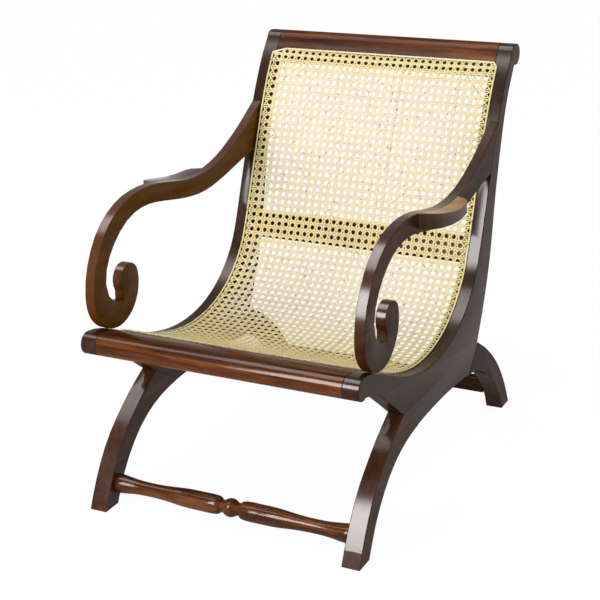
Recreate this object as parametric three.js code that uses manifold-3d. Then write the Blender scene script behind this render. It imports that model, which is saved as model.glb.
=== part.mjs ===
// Planters chair: two sawn side frames, scrolled arms, a rolled top and front rail,
// and one sweep of caned back and seat. Millimetres, Z up, the sitter faces -Y.
// The origin lies on the floor, in the middle of the chair's length and width.
import * as THREE from "three";
import * as BufferGeometryUtils from "three/addons/utils/BufferGeometryUtils.js";
import Module from "manifold-3d";

const wasm = await Module();
wasm.setup();

// Driving sizes
const chairDepth = 948;
const chairHeight = 916;
const frameWidth = 645;
const plankThickness = 37;
const legThickness = 42;
const armThickness = 23;
const padReach = 39.5;
const arris = 1.6;

// Rolls at the nose and the head
const noseRadius = 24.5;
const headRadius = 25;

// Run of the arm past its root, before it is coped onto the rail
const rootOverrun = 30;

// Cross rails
const frontRailThickness = 34;
const topRailThickness = 28;
const midRailThickness = 22;
const midRailHeight = 63;
const midRailSetback = 2;
const rearRailThickness = 22;
const rearRailHeight = 40;
const railRounding = 4;

// Joints
const jointGap = 0.3;
const railTenonLength = 18;
const railTenonThickness = 12;
const frontTenonWidth = 44;
const topTenonWidth = 44;
const midTenonWidth = 48;
const rearTenonHeight = 26;
const rearTenonShoulder = 7;
const looseTenonThickness = 12;
const looseTenonWidth = 40;
const looseTenonLength = 44;
const frontTenonShift = -6;
const rearTenonShift = 3;
const dowelDiameter = 8;
const rootDowelLength = 48;
const scrollDowelLength = 34;
const padDowelLength = 22;
const padDowelDrop = 14;

// Turned stretcher
const stretcherTenonRadius = 12;
const stretcherTenonLength = 22;
const stretcherRadius = 21;
const stretcherBallRadius = 20.5;

// Cane
const caneThickness = 2.4;
const caneArmClearance = 5;
const caneBarWidth = 24;
const binderWidth = 5.6;
const binderThickness = 1.2;
const leftCornerCut = 34;
const leftCornerDrop = 11;
const rightCornerCut = 9;
const rightCornerDrop = 10;

// Steps along curves
const railSteps = 52;
const legSteps = 10;
const archSteps = 28;
const backSteps = 18;
const armSteps = 28;
const rollSteps = 11;
const turningSides = 16;
const dowelSides = 12;

// Openings of the caned panel, and their places on the seat grid
const caneColumns = 7;
const caneRows = 11;
const caneFirstStep = 5;
const caneOpeningSteps = 3;
const caneBarSteps = 1;

// Side outlines, as shares of the chair's depth and height, from the front foot's toe
const seatShares = [
  [0.034, 0.447], [0.074, 0.44], [0.284, 0.353], [0.418, 0.327], [0.542, 0.34], [0.635, 0.384],
  [0.693, 0.44], [0.72, 0.483], [0.847, 0.821], [0.905, 0.933], [0.942, 0.985],
];
const backShares = [[0.907, 0.861], [0.849, 0.67], [0.809, 0.472], [0.769, 0.355], [0.729, 0.271]];
const underNoseShares = [[0.098, 0.381], [0.172, 0.329], [0.248, 0.27]];
const frontLegShares = [[0.248, 0.27], [0.177, 0.226], [0.084, 0.147], [0.026, 0.059], [0, 0]];
const rearLegShares = [[0.729, 0.271], [0.801, 0.226], [0.888, 0.151], [0.953, 0.064], [0.985, 0]];
const archShares = [
  [0.931, 0], [0.908, 0.048], [0.818, 0.143], [0.709, 0.195],
  [0.3, 0.203], [0.18, 0.16], [0.097, 0.081], [0.051, 0],
];
const frontJointShares = [[0.248, 0.27], [0.343, 0.205]];
const rearJointShares = [[0.675, 0.203], [0.729, 0.271]];
const jointOverrunShare = 1.3;
const stretcherPlaceShares = [[0.0596, 0.0502]];
const rearRailPlaceShares = [[0.8945, 0.0524]];
const armTopShares = [
  [0.851, 0.826], [0.741, 0.762], [0.618, 0.713], [0.492, 0.701], [0.279, 0.733],
  [0.169, 0.717], [0.091, 0.666], [0.044, 0.585], [0.035, 0.532],
];
const scrollCentreShares = [[0.1276, 0.5205]];
const scrollRadiusShares = [[0.0923, 0.0928]];
const bulbRadiusShares = [[0.0369, 0.0385]];
const armUnderShares = [
  [0.1517, 0.5081], [0.1635, 0.496], [0.156, 0.4882], [0.138, 0.4853], [0.1203, 0.491], [0.1045, 0.503],
  [0.0915, 0.523], [0.0865, 0.554], [0.099, 0.595], [0.138, 0.642], [0.186, 0.673], [0.232, 0.686],
  [0.289, 0.687], [0.454, 0.658], [0.527, 0.652], [0.601, 0.659], [0.764, 0.694], [0.802, 0.701],
];
const headCornerShares = [0.13, 0.63];
const padUnderShares = [[0.31, 0.695], [0.4, 0.682], [0.5, 0.673], [0.6, 0.673]];

// Armrest pad in plan: share of its reach, share of the chair's depth
const padPlanShares = [
  [0.45, 0.337], [0.72, 0.345], [0.87, 0.362], [0.97, 0.4], [1, 0.44], [0.95, 0.485], [0.85, 0.522],
  [0.8, 0.54], [0.57, 0.557],
];
const padFrontShare = 0.325;
const padRearShare = 0.568;
const padDowelShares = [0.37, 0.52];

// Places along the seat curve, as shares of its length from nose to head
const caneFrontShare = 0.067;
const caneTopShare = 0.9765;
const frontRailShare = 0.082;
const frontRailUnderShare = 0.03;
const frontTenonShare = 0.046;
const topRailShare = 0.942;
const topTenonShare = 0.963;
const midRailShare = 0.6138;
const rootDowelShares = [0.775, 0.815];
const scrollDowelShare = 0.045;

// Turned profile: share of the half length, share of the greatest radius
const turningShares = [
  [1, 1], [0.97, 1], [0.8, 0.76], [0.6, 0.76], [0.38, 0.98], [0.25, 1], [0.15, 1], [0.1, 0.9], [0.078, 0.64],
];

// Points and curves in a side plane: first number along Y, second up Z
const fromShares = (shares) =>
  shares.map(([alongShare, upShare]) => new THREE.Vector2(alongShare * chairDepth, upShare * chairHeight));

function smoothThrough(places) {
  const points = places.map((point) => new THREE.Vector3(point.x, point.y, 0));
  return new THREE.CatmullRomCurve3(points, false, "centripetal");
}

const flat = (points) => points.map((point) => new THREE.Vector2(point.x, point.y));
const sampled = (shares, steps) => flat(smoothThrough(fromShares(shares)).getSpacedPoints(steps));

// An arc whose radii along and up may differ
function ovalPoints(centre, radii, fromAngle, toAngle, steps) {
  const clockwise = toAngle < fromAngle;
  const arc = new THREE.EllipseCurve(centre.x, centre.y, radii.x, radii.y, fromAngle, toAngle, clockwise);
  return arc.getPoints(steps);
}

const arcPoints = (centre, radius, fromAngle, toAngle, steps) =>
  ovalPoints(centre, new THREE.Vector2(radius, radius), fromAngle, toAngle, steps);

const degrees = (angle) => THREE.MathUtils.degToRad(angle);
const quarterTurn = degrees(90);
const bulbAngle = degrees(11);
const neckAngle = degrees(216);
const seatCurve = smoothThrough(fromShares(seatShares));

// The seat curve is sampled once, so that every piece that lies on it has the same facets
const seatGrid = flat(seatCurve.getSpacedPoints(railSteps));
const seatNormals = seatGrid.map((point, index) => {
  const tangent = seatCurve.getTangentAt(index / railSteps);
  return new THREE.Vector2(-tangent.y, tangent.x);
});

// A point on the seat curve, moved off its front face by a height
function seatPoint(share, height) {
  const index = Math.min(Math.floor(share * railSteps), railSteps - 1);
  const raised = (corner) => seatGrid[corner].clone().addScaledVector(seatNormals[corner], height);
  return raised(index).lerp(raised(index + 1), share * railSteps - index);
}

function seatAngle(share) {
  const tangent = seatCurve.getTangentAt(share);
  return Math.atan2(tangent.y, tangent.x);
}

function seatRun(fromShare, toShare, height) {
  const low = Math.min(fromShare, toShare);
  const high = Math.max(fromShare, toShare);
  const gridShares = seatGrid.map((point, index) => index / railSteps);
  const between = gridShares.filter((share) => share > low && share < high);
  const run = [low, ...between, high].map((share) => seatPoint(share, height));
  return fromShare < toShare ? run : run.reverse();
}

// Solids: closed geometry in, closed geometry out
function toSolid(geometry) {
  const bare = geometry.clone();
  bare.deleteAttribute("normal");
  bare.deleteAttribute("uv");
  const merged = BufferGeometryUtils.mergeVertices(bare);
  return new wasm.Manifold(new wasm.Mesh({
    numProp: 3,
    vertProperties: new Float32Array(merged.attributes.position.array),
    triVerts: new Uint32Array(merged.index.array),
  }));
}

function toGeometry(solid) {
  const mesh = solid.getMesh();
  const geometry = new THREE.BufferGeometry();
  geometry.setAttribute("position", new THREE.BufferAttribute(mesh.vertProperties, mesh.numProp));
  geometry.setIndex(new THREE.BufferAttribute(mesh.triVerts, 1));
  return BufferGeometryUtils.toCreasedNormals(geometry, degrees(35));
}

const cut = (solid, cutters) => cutters.reduce((rest, cutter) => rest.subtract(cutter), solid);

// A side-plane outline given thickness across the chair, from lowX to highX
const sidePlane = new THREE.Matrix4().set(0, 0, 1, 0, 1, 0, 0, 0, 0, 1, 0, 0, 0, 0, 0, 1);

function plankGeometry(outline, lowX, highX, rounding) {
  const geometry = new THREE.ExtrudeGeometry(new THREE.Shape(outline), {
    depth: highX - lowX - 2 * rounding,
    bevelEnabled: rounding > 0,
    bevelThickness: rounding,
    bevelSize: rounding,
    bevelOffset: -rounding,
    bevelSegments: 2,
  });
  geometry.translate(0, 0, lowX + rounding);
  return geometry.applyMatrix4(sidePlane);
}

const plank = (...sizes) => toSolid(plankGeometry(...sizes));

// A block: size across the chair, along its own direction, and across that direction
function block(across, along, deep, centreX, centre, angle) {
  const geometry = new THREE.BoxGeometry(across, along, deep);
  geometry.rotateX(angle);
  geometry.translate(centreX, centre.x, centre.y);
  return toSolid(geometry);
}

// A cross dowel lies along X; any other one is turned in the side plane
function dowel(radius, length, centreX, centre, angle, sides = dowelSides) {
  const geometry = new THREE.CylinderGeometry(radius, radius, length, sides);
  if (angle === null) {
    geometry.rotateZ(quarterTurn);
  } else {
    geometry.rotateX(angle);
  }
  geometry.translate(centreX, centre.x, centre.y);
  return toSolid(geometry);
}

// The leg's side of a joint line, to the right of it from start to end, held off it by a gap
function beyondLine([start, end], gap) {
  const along = end.clone().sub(start);
  const length = along.length() * (1 + 2 * jointOverrunShare);
  along.normalize();
  const normal = new THREE.Vector2(along.y, -along.x);
  const middle = start.clone().lerp(end, 1 / 2).addScaledVector(normal, chairDepth / 2 + gap);
  return block(2 * frameWidth, length, chairDepth, 0, middle, Math.atan2(along.y, along.x));
}

// Everything under the seat curve, grown by a gap
function belowSeat(gap) {
  const outline = seatRun(0, 1, gap);
  const last = outline[outline.length - 1];
  outline.push(new THREE.Vector2(last.x + chairDepth, last.y));
  outline.push(new THREE.Vector2(last.x + chairDepth, -chairHeight));
  outline.push(new THREE.Vector2(outline[0].x, -chairHeight));
  return plank(outline, -frameWidth, frameWidth, 0);
}

// Rolls: the nose ends where the seat starts, the head fills the upper rear corner
const noseEndAngle = degrees(81);
const noseCentre = seatGrid[0].clone().sub(
  new THREE.Vector2(Math.cos(noseEndAngle), Math.sin(noseEndAngle)).multiplyScalar(noseRadius),
);
const headCentre = new THREE.Vector2(chairDepth - headRadius, chairHeight - headRadius);
const noseRoll = arcPoints(noseCentre, noseRadius, degrees(-64), noseEndAngle - 4 * quarterTurn, rollSteps);
const headRoll = arcPoints(headCentre, headRadius, quarterTurn, degrees(-122), rollSteps);

// Soft corner from the seat's top end to the flat above the head roll
const seatEnd = seatGrid[railSteps];
const headCorner = new THREE.QuadraticBezierCurve(seatEnd, ...headCornerShares.map((share) =>
  new THREE.Vector2(THREE.MathUtils.lerp(seatEnd.x, headCentre.x, share), chairHeight))).getPoints(3);

// Edges that leave a roll start where its arc ends
const fromRoll = (roll, shares, steps) =>
  flat(smoothThrough([roll, ...fromShares(shares)]).getSpacedPoints(steps));
const underNose = fromRoll(noseRoll[0], underNoseShares, legSteps);
const back = fromRoll(headRoll[rollSteps], backShares, backSteps);

// The side frame seen from the side: nose, seat, head, back, rear leg, arch, front leg
const frameOutline = [
  ...noseRoll,
  ...seatRun(0, 1, 0).slice(1, -1),
  ...headCorner,
  ...headRoll,
  ...back.slice(1),
  ...sampled(rearLegShares, legSteps).slice(1),
  ...sampled(archShares, archSteps),
  ...sampled(frontLegShares, legSteps).reverse(),
  ...underNose.slice(1, -1).reverse(),
];

// Scrolled arm: top edge, scroll, bulb, then back along the under edge
function armOutline() {
  const [scrollCentre] = fromShares(scrollCentreShares);
  const [scrollRadii] = fromShares(scrollRadiusShares);
  const [bulbRadii] = fromShares(bulbRadiusShares);
  const bulbCentre = new THREE.Vector2(Math.cos(bulbAngle), Math.sin(bulbAngle))
    .multiply(scrollRadii.clone().sub(bulbRadii)).add(scrollCentre);
  const top = sampled(armTopShares, armSteps);
  const under = sampled(armUnderShares, armSteps);
  const rootDirection = top[0].clone().sub(top[1]).normalize();
  const topRoot = top[0].clone().addScaledVector(rootDirection, rootOverrun);
  const underRoot = under[under.length - 1].clone().addScaledVector(rootDirection, rootOverrun);
  return [
    topRoot,
    ...top,
    ...ovalPoints(scrollCentre, scrollRadii, 2 * quarterTurn, 4 * quarterTurn + bulbAngle, 2 * rollSteps),
    ...ovalPoints(bulbCentre, bulbRadii, bulbAngle, neckAngle, rollSteps).slice(1),
    ...under.slice(1),
    underRoot,
  ];
}

// Joint places shared by the piece that fills them and the pieces that hold them
const frontJoint = fromShares(frontJointShares);
const rearJoint = fromShares(rearJointShares);
const side = { left: -1, right: 1 };
const plankX = (sign) => sign * (frameWidth - plankThickness) / 2;
const armX = (sign) => sign * (frameWidth - armThickness) / 2;
const innerFace = frameWidth / 2 - plankThickness;

// A leg is as thick as the rail at its head, and spreads evenly to both sides down to the floor
const legThicknessAt = (height) =>
  THREE.MathUtils.lerp(legThickness, plankThickness, height / frontJoint[0].y);
const legInnerFace = (height) => plankX(side.right) - legThicknessAt(height) / 2;

function looseTenon(sign, line, shift, gap) {
  const along = line[1].clone().sub(line[0]).normalize();
  const centre = line[0].clone().lerp(line[1], 1 / 2).addScaledVector(along, shift);
  return block(
    looseTenonThickness + 2 * gap, looseTenonWidth + 2 * gap, looseTenonLength + 2 * gap,
    plankX(sign), centre, Math.atan2(along.y, along.x),
  );
}

// Tenons run right through a rail, so one block serves both of its ends
const tenonSpan = 2 * (innerFace + railTenonLength);
const frontTenon = (gap) => block(
  tenonSpan + 2 * gap, frontTenonWidth + 2 * gap, railTenonThickness + 2 * gap,
  0, seatPoint(frontTenonShare, -frontRailThickness / 2), seatAngle(frontTenonShare),
);
const topTenon = (gap) => block(
  tenonSpan + 2 * gap, topTenonWidth + 2 * gap, railTenonThickness + 2 * gap,
  0, seatPoint(topTenonShare, -topRailThickness / 2), seatAngle(topTenonShare),
);
const midTenon = (gap) => block(
  tenonSpan + 2 * gap, midTenonWidth + 2 * gap, railTenonThickness + 2 * gap,
  0, seatPoint(midRailShare, -midRailSetback - midRailThickness / 2), seatAngle(midRailShare),
);
const [rearRailPlace] = fromShares(rearRailPlaceShares);
const rearTenonCentre = new THREE.Vector2(rearRailThickness, rearTenonHeight).divideScalar(2)
  .add(new THREE.Vector2(0, rearTenonShoulder)).add(rearRailPlace);
const rearRailFace = legInnerFace(rearRailPlace.y);
const rearTenon = (gap) => block(
  2 * (rearRailFace + railTenonLength + gap), railTenonThickness + 2 * gap, rearTenonHeight + 2 * gap,
  0, rearTenonCentre, 0,
);
const [stretcherPlace] = fromShares(stretcherPlaceShares);
const stretcherFace = legInnerFace(stretcherPlace.y - stretcherRadius);
const stretcherTenon = (gap) => dowel(
  stretcherTenonRadius + gap, 2 * (stretcherFace + stretcherTenonLength + gap), 0, stretcherPlace, null,
  turningSides,
);

// The arm's dowels stand square to the seat curve, half in the rail and half in the arm
const squareDowel = (sign, share, length, gap) => dowel(
  dowelDiameter / 2 + gap, length + 2 * gap, armX(sign), seatPoint(share, 0), seatAngle(share) + quarterTurn,
);
const rootDowel = (sign, share, gap) => squareDowel(sign, share, rootDowelLength, gap);
const scrollDowel = (sign, gap) => squareDowel(sign, scrollDowelShare, scrollDowelLength, gap);

const armTop = sampled(armTopShares, armSteps);

function padDowel(sign, share, gap) {
  const y = share * chairDepth;
  const isNearer = (point, other) => Math.abs(point.x - y) < Math.abs(other.x - y);
  const nearest = armTop.reduce((best, point) => (isNearer(point, best) ? point : best));
  const centre = new THREE.Vector2(y, nearest.y - padDowelDrop);
  return dowel(dowelDiameter / 2 + gap, padDowelLength + 2 * gap, sign * frameWidth / 2, centre, null);
}

// Materials
function wood(name, color, roughness) {
  return new THREE.MeshStandardMaterial({ name, color, roughness, metalness: 0 });
}
const frameWood = wood("lacquered mahogany", 0x55301a, 0.28);
const hiddenWood = wood("bare mahogany", 0x8a5a35, 0.7);
const caneMaterial = wood("cane", 0xeedfb0, 0.55);
const binderMaterial = wood("binder cane", 0xf3e6c2, 0.45);

const chair = new THREE.Group();

function addPiece(name, solid, material) {
  const mesh = new THREE.Mesh(toGeometry(solid), material);
  mesh.name = name;
  mesh.position.y = -chairDepth / 2;
  chair.add(mesh);
}

const railStock = (sign) =>
  plankGeometry(frameOutline, plankX(sign) - plankThickness / 2, plankX(sign) + plankThickness / 2, arris);

function legStock(sign) {
  const geometry = railStock(sign);
  const places = geometry.attributes.position;
  for (let index = 0; index < places.count; index += 1) {
    const spread = legThicknessAt(places.getZ(index)) / plankThickness;
    places.setX(index, plankX(sign) + spread * (places.getX(index) - plankX(sign)));
  }
  return toSolid(geometry);
}

// Side frames: one outline, sawn into rail, front leg and rear leg on the joint lines
function addSideFrame(label, sign) {
  const frontPocket = looseTenon(sign, frontJoint, frontTenonShift, jointGap);
  const rearPocket = looseTenon(sign, rearJoint, rearTenonShift, jointGap);
  const rail = cut(toSolid(railStock(sign)), [
    beyondLine(frontJoint, 0),
    beyondLine(rearJoint, 0),
    frontPocket,
    rearPocket,
    frontTenon(jointGap),
    topTenon(jointGap),
    midTenon(jointGap),
    scrollDowel(sign, jointGap),
    ...rootDowelShares.map((share) => rootDowel(sign, share, jointGap)),
  ]);
  const frontLeg = cut(legStock(sign).intersect(beyondLine(frontJoint, jointGap)), [
    frontPocket,
    stretcherTenon(jointGap),
  ]);
  const rearLeg = cut(legStock(sign).intersect(beyondLine(rearJoint, jointGap)), [
    rearPocket,
    rearTenon(jointGap),
  ]);
  addPiece(`side_rail_${label}`, rail, frameWood);
  addPiece(`front_leg_${label}`, frontLeg, frameWood);
  addPiece(`rear_leg_${label}`, rearLeg, frameWood);
  addPiece(`front_loose_tenon_${label}`, looseTenon(sign, frontJoint, frontTenonShift, 0), hiddenWood);
  addPiece(`rear_loose_tenon_${label}`, looseTenon(sign, rearJoint, rearTenonShift, 0), hiddenWood);
}

// Arms, coped onto the side rail at the root and under the scroll
function addArm(label, sign) {
  const low = armX(sign) - armThickness / 2;
  const arm = cut(plank(armOutline(), low, low + armThickness, arris), [
    belowSeat(jointGap),
    scrollDowel(sign, jointGap),
    ...rootDowelShares.map((share) => rootDowel(sign, share, jointGap)),
    ...padDowelShares.map((share) => padDowel(sign, share, jointGap)),
  ]);
  addPiece(`arm_${label}`, arm, frameWood);
  addPiece(`scroll_dowel_${label}`, scrollDowel(sign, 0), hiddenWood);
  rootDowelShares.forEach((share, index) => {
    addPiece(`arm_root_dowel_${label}_${index + 1}`, rootDowel(sign, share, 0), hiddenWood);
  });
}

// Armrest pads: the arm's top edge carried outwards, sawn to a soft outline in plan
function addPad(label, sign) {
  const top = armTop.filter((point) => point.x > padFrontShare * chairDepth - rootOverrun
    && point.x < padRearShare * chairDepth + rootOverrun);
  const band = [...top, ...sampled(padUnderShares, legSteps / 2)];
  const inner = sign * (frameWidth / 2 + jointGap);
  const outer = sign * (frameWidth / 2 + 2 * padReach);
  const profile = plank(band, Math.min(inner, outer), Math.max(inner, outer), 0);
  const edge = padPlanShares.map(([reachShare, depthShare]) =>
    new THREE.Vector3(sign * (frameWidth / 2 + reachShare * padReach), depthShare * chairDepth, 0));
  const plan = new THREE.Shape([
    new THREE.Vector2(sign * (frameWidth - plankThickness) / 2, padFrontShare * chairDepth),
    new THREE.Vector2(inner, padFrontShare * chairDepth),
    ...flat(new THREE.CatmullRomCurve3(edge, false, "centripetal").getSpacedPoints(armSteps / 2)),
    new THREE.Vector2(inner, padRearShare * chairDepth),
    new THREE.Vector2(sign * (frameWidth - plankThickness) / 2, padRearShare * chairDepth),
  ]);
  const column = toSolid(new THREE.ExtrudeGeometry(plan, { depth: chairHeight, bevelEnabled: false }));
  const pad = cut(profile.intersect(column), padDowelShares.map((share) => padDowel(sign, share, jointGap)));
  addPiece(`armrest_pad_${label}`, pad, frameWood);
  padDowelShares.forEach((share, index) => {
    addPiece(`pad_dowel_${label}_${index + 1}`, padDowel(sign, share, 0), hiddenWood);
  });
}

// Front rail: the nose's own section, run from side to side
function addFrontRail() {
  const outline = [
    ...noseRoll,
    ...seatRun(0, frontRailShare, 0).slice(1),
    ...seatRun(frontRailShare, frontRailUnderShare, -frontRailThickness),
  ];
  const reach = innerFace - jointGap;
  addPiece("front_rail", plank(outline, -reach, reach, 0).add(frontTenon(0)), frameWood);
}

// Top rail: the head's own section, run from side to side
function addTopRail() {
  const outline = [
    ...seatRun(topRailShare, 1, 0).slice(0, -1),
    ...headCorner,
    ...headRoll,
    seatPoint(topRailShare, -topRailThickness),
  ];
  const reach = innerFace - jointGap;
  addPiece("top_rail", plank(outline, -reach, reach, 0).add(topTenon(0)), frameWood);
}

// A board with rounded arrises, its section centred in the side plane, run between two inner faces
function board(deep, tall, centre, angle, face) {
  const inset = new THREE.Vector2(deep / 2 - railRounding, tall / 2 - railRounding);
  const cornerSigns = [[1, 1], [-1, 1], [-1, -1], [1, -1]];
  const outline = cornerSigns.flatMap(([alongSign, upSign], index) => {
    const centreOfCorner = inset.clone().multiply(new THREE.Vector2(alongSign, upSign));
    return arcPoints(centreOfCorner, railRounding, index * quarterTurn, (index + 1) * quarterTurn, 3);
  });
  const turned = outline.map((point) => point.rotateAround(new THREE.Vector2(), angle).add(centre));
  return plank(turned, jointGap - face, face - jointGap, 0);
}

function addBoards() {
  const midCentre = seatPoint(midRailShare, -midRailSetback - midRailThickness / 2);
  const midAngle = seatAngle(midRailShare) - quarterTurn;
  const midBoard = board(midRailThickness, midRailHeight, midCentre, midAngle, innerFace);
  addPiece("mid_back_rail", midBoard.add(midTenon(0)), frameWood);
  const rearCentre = new THREE.Vector2(rearRailThickness, rearRailHeight).divideScalar(2).add(rearRailPlace);
  const rearBoard = board(rearRailThickness, rearRailHeight, rearCentre, 0, rearRailFace);
  addPiece("rear_lower_rail", rearBoard.add(rearTenon(0)), frameWood);
}

// Turned stretcher: plain ends, long hollows, two swells and a ball in the middle
function addStretcher() {
  const half = stretcherFace - jointGap;
  const shaped = turningShares.map(([lengthShare, radiusShare]) =>
    new THREE.Vector2(lengthShare * half, radiusShare * stretcherRadius));
  const neck = shaped[shaped.length - 1];
  const ballStart = Math.asin(neck.y / stretcherBallRadius);
  const ball = arcPoints(new THREE.Vector2(), stretcherBallRadius, ballStart, quarterTurn, 4);
  const right = [...flat(smoothThrough(shaped).getSpacedPoints(armSteps / 2)), ...ball];
  const tenonEnd = stretcherFace + stretcherTenonLength;
  const halfProfile = [
    new THREE.Vector2(tenonEnd, 0),
    new THREE.Vector2(tenonEnd, stretcherTenonRadius),
    new THREE.Vector2(half, stretcherTenonRadius),
    ...right,
  ];
  const mirrored = halfProfile.slice(0, -1).reverse().map((point) => new THREE.Vector2(-point.x, point.y));
  const profile = [...halfProfile, ...mirrored].map((point) => new THREE.Vector2(point.y, point.x));
  const geometry = new THREE.LatheGeometry(profile.reverse(), turningSides);
  geometry.rotateZ(quarterTurn);
  geometry.translate(0, stretcherPlace.x, stretcherPlace.y);
  addPiece("front_stretcher", toSolid(geometry), frameWood);
}

// Caned panel: one thin sheet laid on the frame's front edge, opened in a plain grid where the
// weave is open, with its two top corners cut
const caneHalfWidth = frameWidth / 2 - armThickness - caneArmClearance;
const caneBase = jointGap;
const binderBase = caneBase + caneThickness + jointGap;

function acrossSeat(outline, thickness, share, height) {
  const shape = new THREE.Shape(outline);
  const geometry = new THREE.ExtrudeGeometry(shape, { depth: thickness, bevelEnabled: false });
  geometry.rotateX(seatAngle(share));
  const centre = seatPoint(share, height);
  geometry.translate(0, centre.x, centre.y);
  return toSolid(geometry);
}

function caneOpenings() {
  const pitch = (2 * caneHalfWidth - caneBarWidth) / caneColumns;
  const openings = [];
  for (let row = 0; row < caneRows; row += 1) {
    const step = caneFirstStep + row * (caneOpeningSteps + caneBarSteps);
    const fromShare = step / railSteps;
    const toShare = (step + caneOpeningSteps) / railSteps;
    const outline = [
      ...seatRun(fromShare, toShare, caneBase - caneThickness),
      ...seatRun(toShare, fromShare, caneBase + 2 * caneThickness),
    ];
    for (let column = 0; column < caneColumns; column += 1) {
      const lowX = caneBarWidth - caneHalfWidth + column * pitch;
      openings.push(plank(outline, lowX, lowX + pitch - caneBarWidth, 0));
    }
  }
  return openings;
}

function addCane() {
  const lower = seatRun(caneFrontShare, caneTopShare, caneBase);
  const upper = seatRun(caneTopShare, caneFrontShare, caneBase + caneThickness);
  const half = caneHalfWidth;
  const corner = (sign, across, down) => acrossSeat([
    new THREE.Vector2(sign * (half - 2 * across), down),
    new THREE.Vector2(sign * (half + across), -2 * down),
    new THREE.Vector2(sign * (half + across), down),
  ], plankThickness, caneTopShare, -plankThickness / 2);
  const sheet = cut(plank([...lower, ...upper], -half, half, 0), [
    corner(side.left, leftCornerCut, leftCornerDrop),
    corner(side.right, rightCornerCut, rightCornerDrop),
    ...caneOpenings(),
  ]);
  addPiece("cane_panel", sheet, caneMaterial);
}

// Binder cane: a flat strip laid over the panel's edge on each side, in front and on top
function addBinders() {
  const half = caneHalfWidth;
  const length = seatCurve.getLength();
  const strip = (lowX, highX, fromShare, toShare) => plank([
    ...seatRun(fromShare, toShare, binderBase),
    ...seatRun(toShare, fromShare, binderBase + binderThickness),
  ], lowX, highX, 0);
  const widthShare = binderWidth / length;
  const gapShare = jointGap / length;
  addPiece("binder_front", strip(-half + binderWidth + jointGap, half - binderWidth - jointGap,
    caneFrontShare, caneFrontShare + widthShare), binderMaterial);
  addPiece("binder_left", strip(-half, -half + binderWidth,
    caneFrontShare, caneTopShare - leftCornerDrop / length - gapShare), binderMaterial);
  addPiece("binder_right", strip(half - binderWidth, half,
    caneFrontShare, caneTopShare - rightCornerDrop / length - gapShare), binderMaterial);
  const outer = [
    new THREE.Vector2(-half, -leftCornerDrop),
    new THREE.Vector2(-half + leftCornerCut, 0),
    new THREE.Vector2(half - rightCornerCut, 0),
    new THREE.Vector2(half, -rightCornerDrop),
  ];
  const inner = [
    new THREE.Vector2(half - binderWidth, -rightCornerDrop),
    new THREE.Vector2(half - rightCornerCut - binderWidth / 2, -binderWidth),
    new THREE.Vector2(-half + leftCornerCut, -binderWidth),
    new THREE.Vector2(-half + binderWidth, -leftCornerDrop),
  ];
  const topStrip = acrossSeat([...outer, ...inner], binderThickness, caneTopShare, binderBase);
  addPiece("binder_top", topStrip, binderMaterial);
}

Object.entries(side).forEach(([label, sign]) => {
  addSideFrame(label, sign);
  addArm(label, sign);
  addPad(label, sign);
});
addFrontRail();
addTopRail();
addBoards();
addStretcher();
addCane();
addBinders();

export default chair;
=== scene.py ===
# %% [markdown]
# # A planters chair, dressed for the camera
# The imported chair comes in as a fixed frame: side rails, legs, arms, rails and a plain sheet where
# the cane goes. This file gives the wood its lacquer and grain, rounds the arrises that the hand
# meets, and weaves the cane strand by strand. Everything is in metres: X across the chair, -Y the
# way the sitter faces, Z up, with the origin on the floor under the chair's middle.

# %% Load the frame
import math
import random

import bmesh
import bpy
from mathutils import Matrix, Vector


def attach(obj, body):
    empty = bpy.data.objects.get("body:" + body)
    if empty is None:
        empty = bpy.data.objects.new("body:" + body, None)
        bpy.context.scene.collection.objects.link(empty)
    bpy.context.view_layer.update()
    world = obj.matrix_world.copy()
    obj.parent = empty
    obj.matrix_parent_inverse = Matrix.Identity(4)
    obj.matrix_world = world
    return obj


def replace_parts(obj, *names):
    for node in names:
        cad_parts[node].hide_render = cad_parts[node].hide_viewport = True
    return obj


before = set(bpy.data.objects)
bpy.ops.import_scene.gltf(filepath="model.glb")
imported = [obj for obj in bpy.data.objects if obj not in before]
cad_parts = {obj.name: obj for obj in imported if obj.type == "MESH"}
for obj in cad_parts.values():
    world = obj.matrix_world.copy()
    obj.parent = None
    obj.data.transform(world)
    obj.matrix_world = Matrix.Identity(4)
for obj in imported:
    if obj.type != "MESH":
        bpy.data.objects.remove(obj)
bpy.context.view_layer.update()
MM = 0.001
print("frame nodes:", len(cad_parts))

# %% [markdown]
# ## The camera
# The view is from the front and a little above, on the chair's +X side. A long lens keeps the
# chair's lines nearly parallel. A camera could be set by eye, but its place was found by matching
# the two identical side frames: where one point of the pair lies in the picture fixes where the
# other must lie.

# %% Camera
CAMERA_PLACE = Vector((1.3781, -2.8229, 1.5041))
CAMERA_AZIMUTH = math.radians(26.57)
CAMERA_ELEVATION = math.radians(19.16)
CAMERA_ROLL = math.radians(-1.116)
LENS_IN_MM = 87.0
SENSOR_IN_MM = 36.0
SHIFT = (-0.0007, -0.0226)
FARTHEST_SEEN = 600.0


def put_in_scene(name, data):
    """Make an object of a mesh, curve, lamp or camera, and put it in the scene."""
    thing = bpy.data.objects.new(name, data)
    bpy.context.scene.collection.objects.link(thing)
    return thing


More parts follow.
